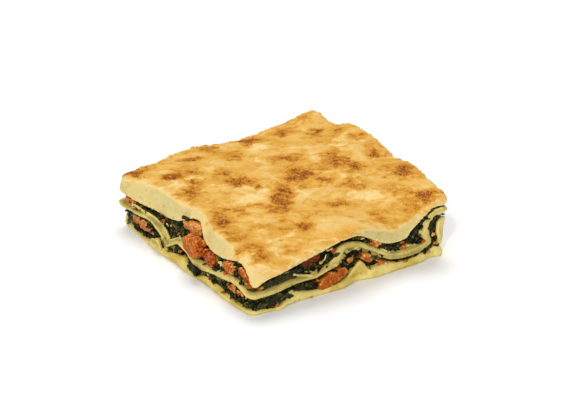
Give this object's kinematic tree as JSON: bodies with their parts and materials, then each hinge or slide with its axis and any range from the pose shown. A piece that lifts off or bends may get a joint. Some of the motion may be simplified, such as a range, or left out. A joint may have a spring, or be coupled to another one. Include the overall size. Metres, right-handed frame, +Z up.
{
  "type": "salmon spinach lasagna portion",
  "caption": "Square cut portion of baked lasagna: wavy pasta sheets in white sauce around spinach and salmon fillings, under a thick browned top.",
  "frame": {"origin": "on the table plane, under the middle of the nominal cut square", "axes": "+Z up; the cut corner that points at the viewer in the picture is towards -X -Y; the face seen on the right of the picture faces -Y, the one on the left faces -X"},
  "size_m": [0.1263, 0.1228, 0.0322],
  "materials": {
    "pasta": "moist pasta in white sauce",
    "gratin": "baked golden sauce with brown patches",
    "spinach": "wet chopped spinach in sauce",
    "leaf": "wet cooked leaf",
    "salmon": "moist cooked fish"
  },
  "bodies": {
    "root": {"base_sheet": "pasta", "lower_filling": "spinach", "middle_sheet": "pasta", "upper_filling": "spinach", "top_sheet": "gratin", "salmon_left_low_far": "salmon", "salmon_left_notch": "salmon", "salmon_left_large": "salmon", "salmon_left_dark": "salmon", "salmon_left_mid": "salmon", "salmon_left_corner": "salmon", "salmon_left_low_near": "salmon", "salmon_left_end": "salmon", "salmon_front_shade": "salmon", "salmon_front_large": "salmon", "salmon_front_fold": "salmon", "salmon_front_flat": "salmon", "salmon_front_upper": "salmon", "salmon_front_small": "salmon", "salmon_right_low_near": "salmon", "salmon_right_low_far": "salmon", "salmon_right_upper": "salmon", "salmon_back_low_near": "salmon", "salmon_back_low_mid": "salmon", "salmon_back_upper_far": "salmon", "leaf_front_upper": "leaf", "leaf_front_lower": "leaf", "leaf_front_middle": "leaf", "leaf_front_crest": "leaf", "leaf_left_tuft": "leaf", "leaf_right_upper": "leaf", "leaf_back_lower": "leaf"}
  },
  "joints": []
}
